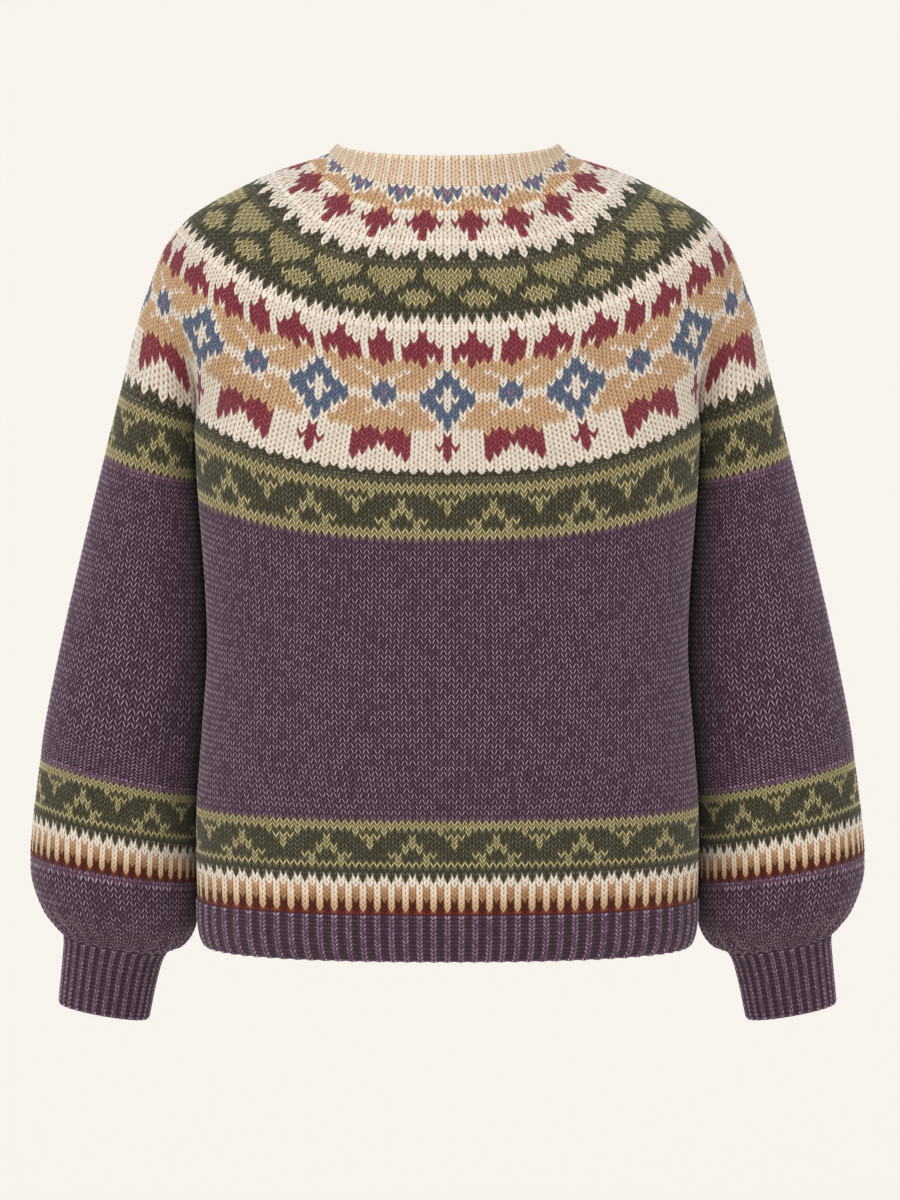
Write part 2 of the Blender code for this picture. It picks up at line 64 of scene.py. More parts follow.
# %% Tables of rings
MM = 0.001
WALL = 3.0
YOKE_DEPTH = 238.0
UNDERARM_Z = -241.0
HEM_TOP_Z = -591.0
HEM_END_Z = -629.5
COLLAR_DEPTH = 23.0
UNDERARM_GAP = 0.6
ARMPIT_BACK_Y = 8.0
ARMPIT_FRONT_Y = 36.0
ARMPIT_BLEND = 26.0
BODY_SHARE = 0.75
CREASE_SHARE = 0.008
CREASE_START = 158.0
BODY_SIDE_Y = 0.0
BODY_SQUARE = 2.3
BODY_LIFT = 2.6
SLEEVE_SQUARE = 2.1
CUFF_STATION = 11.0
CUFF_END = 13.0


def table(names, *rows):
    """A short table with named columns, the first of which is the level."""
    return names.split(), np.array(rows, float)


YOKE = table(
    "drop half_width back_y side_y front_y back_z side_z front_z square lift",
    (-23.0, 87.5, -69.0, 14.0, 79.0, 13.5, 15.5, -42.0, 2.00, 3.6),
    (0.0, 94.0, -75.0, 16.0, 86.0, -10.0, 8.5, -62.0, 2.00, 3.6),
    (59.0, 152.0, -97.0, 14.0, 104.0, -64.0, -13.0, -113.0, 2.10, 3.6),
    (107.0, 208.0, -107.0, 12.0, 112.0, -111.0, -45.0, -156.0, 2.25, 2.7),
    (173.0, 240.0, -110.0, 14.0, 117.0, -177.0, -103.0, -211.0, 2.35, 2.4),
    (YOKE_DEPTH, 262.0, -110.0, 28.5, 118.5, UNDERARM_Z, -184.0, -266.0, 2.40, 2.6),
)
BODY = table(
    "level half_width back_y front_y side_rise front_drop",
    (UNDERARM_Z, 202.7, -110.0, 118.3, 34.0, 24.5),
    (-266.0, 201.3, -109.5, 119.0, 27.0, 21.5),
    (-290.0, 199.5, -108.5, 118.0, 21.5, 18.0),
    (-340.0, 195.0, -106.5, 114.0, 13.5, 12.0),
    (-395.0, 192.5, -105.5, 110.5, 7.0, 7.0),
    (-460.0, 197.0, -108.0, 111.0, 2.5, 3.0),
    (-514.0, 201.0, -111.0, 113.5, 0.0, 0.0),
    (HEM_TOP_Z, 200.5, -111.0, 113.0, 0.0, 0.0),
    (-612.0, 199.5, -110.5, 112.5, 0.0, 0.0),
    (-623.0, 197.0, -108.5, 110.5, 0.0, 0.0),
    (HEM_END_Z, 193.5, -105.5, 107.5, 0.0, 0.0),
)
SLEEVE = table(
    "station out_x out_z in_x in_z centre_y half_depth",
    (0, 262.0, -184.0, 203.8, -205.5, 30.5, 50.0),
    (1, 275.5, -239.0, 200.5, -258.0, 34.0, 51.0),
    (2, 292.5, -310.0, 195.5, -325.0, 38.0, 54.0),
    (3, 309.0, -382.0, 192.5, -400.0, 41.0, 57.0),
    (4, 323.0, -451.0, 196.0, -475.0, 43.0, 60.0),
    (5, 328.0, -487.0, 199.0, -515.0, 44.0, 61.5),
    (6, 333.5, -531.0, 200.0, -557.0, 45.0, 62.0),
    (7, 336.0, -563.0, 200.0, -584.0, 45.5, 61.5),
    (8, 334.0, -585.0, 200.5, -603.0, 46.0, 59.5),
    (9, 325.5, -606.0, 204.0, -621.0, 46.5, 53.5),
    (10, 315.0, -619.5, 213.5, -634.0, 47.0, 43.0),
    (11, 308.5, -628.5, 228.0, -642.0, 47.0, 35.5),
    (12, 309.0, -646.0, 235.0, -660.0, 47.0, 33.5),
    (13, 312.5, -683.0, 242.5, -695.5, 46.0, 32.5),
)

# %% [markdown]
# These helpers read a table at any level and spread points along a line. `even` spreads them
# by length, so that stitches come out equally wide, as one pair of needles makes them.

# %% Read a table, space points
def read(tab, level):
    """The table's row at any level, each column a smooth curve through its rows."""
    names, rows = tab
    levels = rows[:, 0]
    sign = 1.0 if levels[-1] > levels[0] else -1.0
    i = int(np.clip(np.searchsorted(sign * levels, sign * level) - 1, 0, len(levels) - 2))
    span = levels[i + 1] - levels[i]
    t = (level - levels[i]) / span
    slopes = np.gradient(rows, levels, axis=0)
    values = (
        rows[i] * (2 * t**3 - 3 * t**2 + 1)
        + rows[i + 1] * (3 * t**2 - 2 * t**3)
        + slopes[i] * span * (t**3 - 2 * t**2 + t)
        + slopes[i + 1] * span * (t**3 - t**2)
    )
    return SimpleNamespace(**dict(zip(names, values)))


def ease(value):
    """0 below 0, 1 above 1, and a soft step between."""
    value = np.clip(value, 0.0, 1.0)
    return value * value * (3.0 - 2.0 * value)


def even(points, shares):
    """The points at the given shares of a polyline's length."""
    steps = np.linalg.norm(np.diff(points, axis=0), axis=1)
    length = np.concatenate([[0.0], np.cumsum(steps)])
    wanted = np.asarray(shares) * length[-1]
    return np.stack([np.interp(wanted, length, points[:, k]) for k in range(3)], axis=1)


def mirrored(right_half, turns):
    """Points at any turns, from a function that knows the half from turn 0 to 0.5."""
    turns = np.asarray(turns, float) % 1.0
    left = turns > 0.5
    points = right_half(np.where(left, 1.0 - turns, turns))
    points[left, 0] *= -1.0
    return points


# %% [markdown]
# Seen from above, the body is a little squarer than an ellipse. Its upper edge lies highest
# at the sides, where the sleeves join it, and lowest at the front.

# %% Rings of the body
def torso_arc(ring, front, count=240):
    """A quarter of a torso ring, from the centre back or front to the right side."""
    angle = np.linspace(0.0, math.pi / 2, count)
    power = 2.0 / ring.square
    x = ring.half_width * np.sin(angle) ** power
    middle_y, middle_z = (ring.front_y, ring.front_z) if front else (ring.back_y, ring.back_z)
    y = ring.side_y + (middle_y - ring.side_y) * np.abs(np.cos(angle)) ** power
    z = middle_z + (ring.side_z - middle_z) * (x / ring.half_width) ** ring.lift
    return np.stack([x, y, z], axis=1)


def body_row(level):
    row = read(BODY, level)
    return SimpleNamespace(
        half_width=row.half_width, back_y=row.back_y, front_y=row.front_y, side_y=BODY_SIDE_Y,
        back_z=level, side_z=level + row.side_rise, front_z=level - row.front_drop,
        square=BODY_SQUARE, lift=BODY_LIFT,
    )


def body_half(level):
    ring = body_row(level)
    return np.vstack([torso_arc(ring, False), torso_arc(ring, True)[-2::-1]])


def body_turn(y):
    """The turn at which the side of the body's first ring passes the depth y."""
    half = body_half(UNDERARM_Z)
    length = np.cumsum(np.linalg.norm(np.diff(half, axis=0, prepend=half[:1]), axis=1))
    return 0.5 * float(np.interp(y, half[:, 1], length)) / length[-1]


def body_side_x(y, level):
    """How far out the body reaches at a depth y."""
    ring = body_row(level)
    reach = np.where(y < ring.side_y, ring.side_y - ring.back_y, ring.front_y - ring.side_y)
    share = np.clip(np.abs(y - ring.side_y) / reach, 0.0, 1.0)
    return ring.half_width * (1.0 - share**ring.square) ** (1.0 / ring.square)


print("the underarm is", round(2 * body_row(UNDERARM_Z).half_width), "mm wide")

# %% [markdown]
# A sleeve is a tube whose rings are given by their outer and inner ends. Near the armpit the
# ring flattens against the body, where the two are knitted together.

# %% Rings of the sleeve
def sleeve_loop(station, count=320):
    """A closed ring of the right sleeve: underarm, back of the arm, outer side, front."""
    row = read(SLEEVE, station)
    angle = np.linspace(0.0, 2 * math.pi, count + 1)
    power = 2.0 / SLEEVE_SQUARE
    across = -np.sign(np.cos(angle)) * np.abs(np.cos(angle)) ** power
    deep = -np.sign(np.sin(angle)) * np.abs(np.sin(angle)) ** power
    x = (row.out_x + row.in_x) / 2 + across * (row.out_x - row.in_x) / 2
    z = (row.out_z + row.in_z) / 2 + across * (row.out_z - row.in_z) / 2
    y = row.centre_y + deep * row.half_depth
    first = read(SLEEVE, 0.0)
    down = math.hypot(row.out_x - first.out_x, row.out_z - first.out_z)
    near = math.exp(-((down / ARMPIT_BLEND) ** 2))
    armpit_half = (ARMPIT_FRONT_Y - ARMPIT_BACK_Y) / 2
    off_centre = np.abs(y - (ARMPIT_FRONT_Y + ARMPIT_BACK_Y) / 2) / armpit_half
    inner = np.where(across < 0, 1.0 - ease((off_centre - 1.0) / 1.1), 0.0)
    against_body = body_side_x(y, UNDERARM_Z - down) + UNDERARM_GAP
    hug = near * inner * (against_body - x)
    x = x + hug
    z = z + hug * (row.out_z - row.in_z) / (row.out_x - row.in_x)
    return np.stack([x, y, z], axis=1)


def sleeve_turn(front):
    """The turn at which the first sleeve ring leaves the armpit, and that of its outside."""
    loop = sleeve_loop(0.0)
    length = np.cumsum(np.linalg.norm(np.diff(loop, axis=0, prepend=loop[:1]), axis=1))
    outside = len(loop) // 2
    y = loop[:, 1]
    if front:
        leaves = outside + np.argmax(y[outside:] == y.max())
        back_in = leaves + np.argmax(y[leaves:] < ARMPIT_FRONT_Y)
        return length[back_in] / length[-1], length[outside] / length[-1]
    leaves = np.argmax(y < ARMPIT_BACK_Y)
    return length[leaves] / length[-1], length[outside] / length[-1]


# %% [markdown]
# The yoke starts as a plain ring round the neck. Its lower rings fold into a crease between
# body and arm, because its last round has to meet the body's and both sleeves' first ones.

# %% Rings of the yoke
def armhole_quarter(shares, front):
    """A yoke quarter at the underarm: along the body, into the crease and over the arm."""
    armpit = body_turn(ARMPIT_FRONT_Y if front else ARMPIT_BACK_Y)
    centre = 0.5 if front else 0.0
    along = np.clip(shares / BODY_SHARE, 0.0, 1.0)
    body = body_ring(UNDERARM_Z, centre + (armpit - centre) * along)
    leaves, outside = sleeve_turn(front)
    start = BODY_SHARE + CREASE_SHARE
    over = np.clip((shares - start) / (1.0 - start), 0.0, 1.0)
    arm = sleeve_ring(0.0, leaves + (outside - leaves) * over)
    return np.where((shares <= BODY_SHARE + 1e-6)[:, None], body, arm)


def yoke_quarter(drop, shares, front):
    """A yoke quarter at any drop. Below CREASE_START it folds into the armhole crease."""
    plain = even(torso_arc(read(YOKE, drop), front), shares)
    crease = ease((drop - CREASE_START) / (YOKE_DEPTH - CREASE_START))
    if crease == 0.0:
        return plain
    last = even(torso_arc(read(YOKE, YOKE_DEPTH), front), shares)
    return plain + crease * (armhole_quarter(shares, front) - last)


def yoke_ring(drop, turns):
    def right_half(turn):
        back = yoke_quarter(drop, np.clip(turn / 0.25, 0.0, 1.0), False)
        front = yoke_quarter(drop, np.clip((0.5 - turn) / 0.25, 0.0, 1.0), True)
        return np.where((turn <= 0.25)[:, None], back, front)
    return mirrored(right_half, turns)


def body_ring(level, turns):
    return mirrored(lambda turn: even(body_half(level), 2.0 * turn), turns)


def sleeve_ring(station, turns):
    return even(sleeve_loop(station), np.asarray(turns) % 1.0)


hem = body_ring(HEM_TOP_Z, np.linspace(0.0, 1.0, 200))
print("the hem is", round(float(np.ptp(hem[:, 0]))), "mm wide")

# %% [markdown]
# ## The wools
# A heather yarn is spun from fibres of several shades, so the purple one shows light flecks.
# Each letter of a chart is a wool with a colour and three traits: how much its stitch holes
# show a tan shade, how dark the painted shade in the gaps between its legs is, which also
# stands for darker strands behind, and how strong the light strokes along its legs are, which
# are light fibres in the heather purple and painted highlights on the legs' crowns. Colours are
# written as sRGB hex and become linear in one place.

# %% Wools and their traits
def linear(hex_colour):
    """A linear colour from an sRGB hex string."""
    parts = np.array([int(hex_colour[i:i + 2], 16) for i in (1, 3, 5)]) / 255.0
    return np.where(parts <= 0.04045, parts / 12.92, ((parts + 0.055) / 1.055) ** 2.4)


# The gaps trait sets painted shade between the legs; the strokes trait sets light fibres and
# painted highlights along the legs.
WOOLS = {  # letter: (colour, holes, gaps, strokes)
    ".": ("#E5DCCE", 1.00, 0.26, 0.35),   # cream
    # The collar is one cream: c is C darkened, painted shade in its purl columns.
    "C": ("#EAD9C1", 1.00, 0.30, 0.45),   # the collar's tan cream
    "c": ("#E1CAAC", 1.00, 0.30, 0.45),   # the collar's purl columns
    "T": ("#CDA880", 1.00, 0.42, 0.50),   # tan
    "R": ("#8A3742", 0.00, 0.60, 0.25),   # red
    "B": ("#5B6880", 0.00, 0.55, 0.35),   # blue
    "M": ("#85657C", 0.00, 0.40, 0.40),   # mauve
    "D": ("#474230", 0.00, 0.70, 0.45),   # dark olive
    "L": ("#A79A68", 0.00, 0.85, 0.85),   # light olive
    "P": ("#583A4F", 0.00, 0.90, 1.15),   # heather purple
    "p": ("#573A4E", 0.00, 0.80, 0.70),   # heather purple with fainter fibres
    # K and q are one purple: K is lighter, painted light on the standing knit columns, and q
    # darker, painted shade in the sunken purl columns.
    "K": ("#61455A", 0.00, 0.55, 1.20),   # the knit columns of the ribs
    "q": ("#392431", 0.00, 0.25, 0.22),   # the purl columns of the ribs
    "U": ("#511C13", 0.00, 0.50, 0.12),   # rust
    "V": ("#763120", 0.00, 0.40, 0.15),   # rust in the light
    "1": ("#C2946A", 0.60, 0.40, 0.35),   # the fringe's browns
    "2": ("#B0845C", 0.80, 0.50, 0.45),
    "3": ("#9C7450", 0.90, 0.60, 0.60),
    "w": ("#E6D7C0", 0.90, 0.20, 0.25),   # the fringe's creams
    "x": ("#DDC6A7", 0.90, 0.25, 0.25),
    "y": ("#D2B691", 0.90, 0.30, 0.30),
    "z": ("#C6A57E", 0.90, 0.40, 0.35),
}
LETTERS = {letter: i for i, letter in enumerate(WOOLS)}
COLOURS = np.array([[*linear(wool[0]), 1.0] for wool in WOOLS.values()])
TRAITS = np.array([[*wool[1:], 1.0] for wool in WOOLS.values()])
print(len(WOOLS), "wools")

# %% [markdown]
# ## The charts
# Fair isle is knitted from charts, a square to a stitch. Most rows have two wools, and a few
# here have three. Every band repeats and mirrors itself, so a chart's row lists only the
# stitches from the middle of the repeat to its edge.
# `plain` makes a row of one wool, and `alternate` changes wool at every stitch.

# %% Charts
def plain(letter, rows=1):
    return [letter] * rows


def alternate(even_letter, odd_letter):
    return [(even_letter + odd_letter) * 5]


# Round the neck: blue sprigs with tan between, on a repeat of 5.
SPRIGS = ["...", "MB.", "B.T", ".TT", "TTT"]
# Red pointed leaves, on a repeat of 6.
LEAVES = ["RT..", "RR..", "RRR.", "RR..", "R...", "R..."]
# Cream dips into dark olive in points of three lengths, on a repeat of 6.
CREAM_POINTS = plain(".", 2) + ["..D.", ".DD.", "DDDD"]
# Light olive triangles with lozenges between them, on a repeat of 8.
TRIANGLES = (
    plain("D")
    + ["LLLLD", "LLLLD", "LLLDD", "LLDDD", "LDDLL", "DDLLL", "DDDLL"]
    + plain("D", 2) + alternate(".", "D") + plain(".")
)
# The wide lattice of blue diamonds, stars, red leaves and crowns, on a repeat of 16.
LATTICE = [
    ".........",
    "...R....R",
    "...R....R",
    "..RRR..RR",
    ".RRRRR.RR",
    ".RRRRR.RR",
    ".R.RRR.RR",
    ".TTRTTTTR",
    ".TTTTTTTT",
    "B.TTT.TTT",
    "B.TTTT.TT",
    "BB.TTTT.T",
    "BB.TTTT.B",
    ".BB.TTTBB",
    ".BBB...BM",
    "..BB...BB",
    ".BBBTTT.B",
    ".BB.TTT..",
    "BB.TTT.TT",
    "BB.TTTTTT",
    "B.TTTTTTT",
    "B.TTTTTTT",
    ".....TRRT",
    "R....RRRR",
    "R....RRRR",
    "RR...RRR.",
    "R....RR..",
    "R....R...",
    ".........",
    ".........",
] + alternate(".", "D") + plain("D", 2)
# Light olive peaks between two light lines, on a repeat of 12.
PEAKS = ["DDLDDDD", "LLDDDDL", "LDDDDDL", "LDDDDLL", "DDDDDLD", "DDDLLDD", "DDDDLDD"]
BAND_ON_BODY = plain("D") + plain("L", 2) + PEAKS + plain("L", 2)
# The same peaks again, and below them cream that runs out into a brown fringe.
PEAK_BAND = plain("L", 2) + PEAKS + plain("L")
FRINGE = (
    plain("D", 2) + alternate("D", ".") + plain(".")
    + alternate(".", "1") + alternate("w", "2") + alternate("x", "3")
    + alternate("y", "U") + alternate("z", "U") + alternate("V", "U")
)


def heather(rows, plain_above, plain_below):
    """Flecked purple rows with a few less flecked ones above and below."""
    flecked = rows - plain_above - plain_below
    return plain("p", plain_above) + plain("P", flecked) + plain("p", plain_below)


def knit_from(chart, repeat, columns, centre=0.0):
    """Which wool each stitch of a zone is knitted with, as numbers."""
    apart = np.abs((np.arange(columns) - centre + repeat / 2) % repeat - repeat / 2)
    apart = np.round(apart).astype(int)
    rows = [row * 9 if len(row) == 1 else row for row in chart]
    return np.array([[LETTERS[row[k]] for k in apart] for row in rows])


print("lattice:", len(LATTICE), "rows; lower band:", len(PEAK_BAND + FRINGE), "rows")

# %% [markdown]
# ## How a stitch is shaped
# In stocking stitch every loop shows as a V. Here a stitch is four faces wide and two high:
# its legs swell in the middle, and the row's line dips to the middle of the stitch, which
# makes the V. Eight faces are enough to show the two legs. A bump map could draw them on a
# smooth tube, but it would be lost at the outline.

# %% Sizes of a stitch
DIP = 1.25          # depth of the V, in rows
SWELL = 0.55        # how far a leg stands out of the cloth, mm
LEG_RELIEF = np.array([[-0.8, -0.5, -0.9, -0.5], [0.2, 1.0, 0.3, 1.0]])  # row edge, row middle
RIB_HEIGHT = 1.5    # how far a rib's knit columns stand out, mm
RIB_DIP = 1.2       # a knit column of a rib has a steeper V
CURL_STEPS = 3.0    # half rows over which a free edge rounds in
LINING_STEP = 8     # half rows to a face of the plain inner layer
print("a stitch is", 2 * LEG_RELIEF.shape[1], "faces")

# %% [markdown]
# ## Folds
# The sweater has a few soft folds. Each is a long dimple or ridge, listed in a table. A cloth
# simulation could make them, but it would also move the fitted outline.

# %% Folds
FOLD_COLUMNS = "turn_0 turn_1 level_0 level_1 width height"
BODY_FOLDS = table(
    FOLD_COLUMNS,
    (0.180, 0.120, -300.0, -455.0, 0.022, -3.2),
    (0.150, 0.070, -330.0, -500.0, 0.024, 2.6),
    (0.828, 0.886, -310.0, -470.0, 0.022, -3.0),
    (0.862, 0.940, -350.0, -510.0, 0.022, 2.4),
    (0.325, 0.385, -315.0, -450.0, 0.022, -3.2),
    (0.360, 0.430, -345.0, -505.0, 0.024, 2.6),
    (0.672, 0.610, -320.0, -465.0, 0.022, -3.0),
    (0.640, 0.560, -350.0, -500.0, 0.022, 2.4),
)
SLEEVE_FOLDS = table(
    FOLD_COLUMNS,
    (0.120, 0.250, 1.8, 3.6, 0.045, -3.2),
    (0.080, 0.190, 2.7, 4.6, 0.040, -3.0),
    (0.880, 0.740, 1.9, 3.8, 0.045, -3.2),
    (0.930, 0.820, 2.8, 4.5, 0.040, -2.8),
    (0.300, 0.380, 4.6, 7.4, 0.050, 2.6),
    (0.660, 0.590, 4.4, 7.6, 0.050, 2.6),
)


def fold_offsets(folds, level, turns):
    """How far the folds push a ring out of its surface."""
    total = np.zeros(len(turns))
    for turn_0, turn_1, level_0, level_1, width, height in folds[1]:
        run = (level - level_0) / (level_1 - level_0)
        if 0.0 < run < 1.0:
            aside = (turns % 1.0 - (turn_0 + (turn_1 - turn_0) * run)) / width
            total += height * math.sin(math.pi * run) ** 2 * np.exp(-aside**2)
    return total


print("folds:", len(BODY_FOLDS[1]), "on the body,", len(SLEEVE_FOLDS[1]), "on a sleeve")

# %% [markdown]
# ## A zone of knitting
# `fabric` lays stitches over any ring function and adds the folds, the ribs and a plain inner
# layer, so that the cloth is a real wall. A rib is knit and purl columns in turn: the knit
# ones stand out, and the purl ones sink back between them.

# %% Lay stitches over rings
def unit(vectors):
    return vectors / np.maximum(np.linalg.norm(vectors, axis=-1, keepdims=True), 1e-9)


def pulled(turns, pull):
    """Turns moved along, so that stitches are wider at some places round the piece."""
    moved = turns
    for k, share in enumerate(np.atleast_1d(pull)):
        wave = 4 * np.pi * (k + 1)
        moved = moved + share * np.sin(wave * turns) / wave
    return moved


def fabric(ring, edges, wools, first=0.0, last=None, stretch=None, offset=None, closed=True,
           start=(0.0, 0.8), end=(0.4, 0.0), rib=0, round_start=0.0, round_end=0.0):
    """One zone of knitting. edges are the levels of the row edges, and wools its stitches.

    start and end say how much of the V the first and last two lines keep. rib is the number
    of columns to a rib: 2 for knit and purl, 1 for narrow ribs of single columns.
    """
    rows, columns = wools.shape
    last = columns if last is None else last
    steps = int(round((last - first) * 4))
    count = steps if closed else steps + 1
    column = first + np.arange(count) / 4.0
    levels = np.interp(np.arange(2 * rows + 1) / 2.0, np.arange(rows + 1), edges)
    base, aside = [], []
    for level in levels:
        turns = pulled(column / columns, stretch(level) if stretch else 0.0)
        base.append(ring(level, turns))
        aside.append(np.zeros(count) if offset is None else offset(level, turns))
    base, aside = np.array(base), np.array(aside)
    if closed:
        along = np.roll(base, -1, axis=1) - np.roll(base, 1, axis=1)
    else:
        along = np.gradient(base, axis=1)
    down = np.gradient(base, axis=0) * 2.0
    facing = unit(np.cross(down, along))
    # The V: the row's line dips to the middle of each stitch.
    quarter = np.round((column + 0.5) * 4).astype(int) % 4
    dip = DIP * (np.abs(quarter - 2) * -0.5 + 0.5)
    keep = np.ones(2 * rows + 1)
    keep[:2], keep[-2:] = start, end
    relief = LEG_RELIEF[np.arange(2 * rows + 1) % 2][:, quarter]
    purl = np.zeros(count)
    if rib:
        wave = np.cos(2 * np.pi * column / rib)     # 1 in the middle of each knit column
        purl = ease(0.5 - wave) * (rib > 1)
        aside = aside + RIB_HEIGHT * (0.5 + 0.5 * wave)
        dip = dip * RIB_DIP * (1.0 - purl)
        relief = relief * (1.0 - 0.9 * purl)
        keep[-2] = 0.3
    outer = base + (keep[:, None] * dip)[..., None] * down
    outer = outer + (SWELL * relief * (0.3 + 0.7 * keep[:, None]) + aside)[..., None] * facing
    if round_start or round_end:
        step = np.arange(len(levels))
        curl = round_start * np.clip(1.0 - step / CURL_STEPS, 0, 1) ** 2
        curl = curl + round_end * np.clip(1.0 - step[::-1] / CURL_STEPS, 0, 1) ** 2
        outer = outer - curl[:, None, None] * facing
    inner_rows = sorted({0, *range(LINING_STEP, 2 * rows - 5, LINING_STEP), 2 * rows})
    inner = (base + (aside * (0.0 if rib else 1.0) - WALL)[..., None] * facing)[inner_rows, ::2]
    ends = []
    for level in (levels[0], levels[-1]):
        turns = np.append(column, last) / columns if closed else column / columns
        ends.append(pulled(turns, stretch(level) if stretch else 0.0))
    return SimpleNamespace(
        outer=outer, inner=inner, inner_rows=np.array(inner_rows), closed=closed, wools=wools,
        column=np.append(column, last) if closed else column, columns=columns, rows=rows, ends=ends,
    )

# %% [markdown]
# ## Joining lines of stitches
# A knitter adds stitches between two bands, so each zone has its own count of them. A
# subdivided tube can't change its count of faces on the way, so the faces are listed here.
# `grid` joins rows of equal count, and `strip` joins two lines that differ.

# %% Lines, strips and grids
# At a joint the row's edge would show as a straight line of painted gap shade.
JOINT = 0.25        # how far the stitch UV stays off a joint, so that no gap shows there


def line_of(index, share, u, v):
    """A line of mesh points: their numbers, places along the line and stitch UV."""
    return SimpleNamespace(index=index, share=share, u=u, v=np.broadcast_to(v, np.shape(u)))


def strip(a, b):
    """Triangles between two lines of points that may differ in number."""
    corners, i, j = [], 0, 0
    while i < len(a.share) - 1 or j < len(b.share) - 1:
        step_a = j == len(b.share) - 1 or (
            i < len(a.share) - 1 and a.share[i + 1] <= b.share[j + 1] + 1e-9
        )
        if step_a:
            corners.append([(a, i), (b, j), (a, i + 1)])
            i += 1
        else:
            corners.append([(a, i), (b, j), (b, j + 1)])
            j += 1
    faces = np.array([[line.index[k] for line, k in face] for face in corners])
    places = np.array([[(line.u[k], line.v[k]) for line, k in face] for face in corners])
    return faces, places


def grid(start, count, u, v):
    """Faces of a grid whose rows have count points. u may have one more, for a closed ring."""
    a = np.arange(len(u) - 1)
    b = (a + 1) % count
    r = np.arange(len(v) - 1)[:, None]
    faces = np.stack([r * count + a, (r + 1) * count + a, (r + 1) * count + b, r * count + b], -1)
    shape = faces.shape[:2]
    left, right = np.broadcast_to(u[:-1], shape), np.broadcast_to(u[1:], shape)
    upper, lower = np.broadcast_to(v[:-1, None], shape), np.broadcast_to(v[1:, None], shape)
    places = np.stack([
        np.stack([left, upper], -1), np.stack([left, lower], -1),
        np.stack([right, lower], -1), np.stack([right, upper], -1),
    ], 2)
    return start + faces.reshape(-1, 4), places.reshape(-1, 4, 2)


# %% [markdown]
# ## The map for baking
# An exported model carries its colours in a picture, and the UV map "OFBake" says where each
# face lies in it. Blender could unwrap the mesh, but the knitting is a grid already, so its
# columns and rows are the map. The outside takes most of the picture, and what hardly shows
# takes narrow bands at its bottom.

# %% Places in the baked picture
SHOWN_FROM = 0.08
LINING_BAND = (0.012, 0.060)
RIM_BAND = (0.002, 0.010)
LAST_RIM_BAND = (0.062, 0.070)


def along_zone(zone, places):
    """Where faces lie along a zone's columns, from 0 to 1."""
    first, last = zone.column[0] + 0.5, zone.column[-1] + 0.5
    return (places[..., 0] - first) / (last - first)


def bake_shown(cloth, zone, places):
    """Bake UV of the outside. A long piece is cut into sectors, one above the other."""
    sectors = cloth.sectors
    share = np.clip(along_zone(zone, places), 0.0, 1.0)
    sector = np.minimum(share.mean(1, keepdims=True) * sectors, sectors - 1e-6).astype(int)
    across = np.clip(share * sectors - sector, 0.0, 1.0)
    deep = 0.002 + 0.996 * places[..., 1] / cloth.rows
    high = SHOWN_FROM + (sector + deep) * (1.0 - SHOWN_FROM) / sectors
    return np.stack([0.004 + 0.992 * across, high], -1)


def bake_hidden(cloth, zone, places, band):
    """Bake UV of the inner layer and the rims, in a band at the bottom of the picture."""
    low, high = band
    deep = np.clip(places[..., 1] / cloth.rows, 0.0, 1.0)
    return np.stack([0.004 + 0.992 * along_zone(zone, places), low + (high - low) * deep], -1)


# %% [markdown]
# ## The outside and the inner layer
# A piece's faces are collected in `cloth`: first the stitches, zone by zone, then the inner
# layer, then the rims that close the wall, as a real cloth's edges do.

# %% Outside and inside
def wool_at(zone, row, u):
    return zone.wools[row, np.floor(u).astype(int) % zone.columns]


def add_shown(cloth, zone, faces, places, wool):
    cloth.parts.append((faces, places, bake_shown(cloth, zone, places), wool))


def add_hidden(cloth, zone, faces, places, band):
    """The hidden side takes the wool that is commonest in its row."""
    row = np.clip(places[..., 1].min(1) - zone.done, 0, zone.rows - 1).astype(int)
    wool = np.array([np.bincount(stitches).argmax() for stitches in zone.wools])[row]
    cloth.parts.append((faces, places, bake_hidden(cloth, zone, places, band), wool))


def add_outside(cloth, zones):
    """The stitches of every zone. Returns the first and the last line of points."""
    top = before = None
    for zone in zones:
        count = zone.outer.shape[1]
        final = zone is zones[-1]
        u = zone.column + 0.5
        first_line = line_of(cloth.start + np.arange(len(u)) % count, zone.ends[0], u, zone.done)
        if before:
            # The row above is a plain one. Its lower half runs from its stitches to these.
            above, line = before
            u_above = np.interp(zone.ends[0], above.ends[1], above.column + 0.5)
            joint = line_of(first_line.index, zone.ends[0], u_above, zone.done - JOINT)
            faces, places = strip(line, joint)
            add_shown(cloth, above, faces, places, wool_at(above, -1, places[..., 0].mean(1)))
        v = zone.done + np.arange(2 * zone.rows + final) / 2.0
        v[0] += JOINT
        v[-1] -= JOINT * final
        faces, places = grid(cloth.start, count, u, v)
        row = (places[..., 1].mean(1) - zone.done).astype(int)
        add_shown(cloth, zone, faces, places, wool_at(zone, row, places[..., 0].mean(1)))
        ring = cloth.start + (len(v) - 1) * count + np.arange(len(u)) % count
        before = (zone, line_of(ring, zone.ends[1], u, v[-1]))
        top = top or first_line
        cloth.points.append(zone.outer[:len(v)].reshape(-1, 3))
        cloth.start += len(v) * count
    return top, before[1]


def add_side_edges(cloth, zone):
    """Closes the wall at both sides of a zone that doesn't run all round."""
    count, outer_count = zone.inner.shape[1], zone.outer.shape[1]
    u = (zone.column + 0.5)[::2]
    inner_rows = zone.inner_rows / 2.0
    outer_rows = np.arange(2 * zone.rows + 1) / 2.0
    inner_side = cloth.start + np.arange(len(inner_rows)) * count
    outer_side = np.arange(len(outer_rows)) * outer_count
    for last, end in ((0, u[0]), (1, u[-1])):
        inward = line_of(
            inner_side + (count - 1) * last, inner_rows, np.full(len(inner_rows), end), inner_rows,
        )
        outward = line_of(
            outer_side + (outer_count - 1) * last, outer_rows,
            np.full(len(outer_rows), end), outer_rows,
        )
        faces, places = strip(*((outward, inward) if last else (inward, outward)))
        add_hidden(cloth, zone, faces[:, ::-1], places[:, ::-1], RIM_BAND)


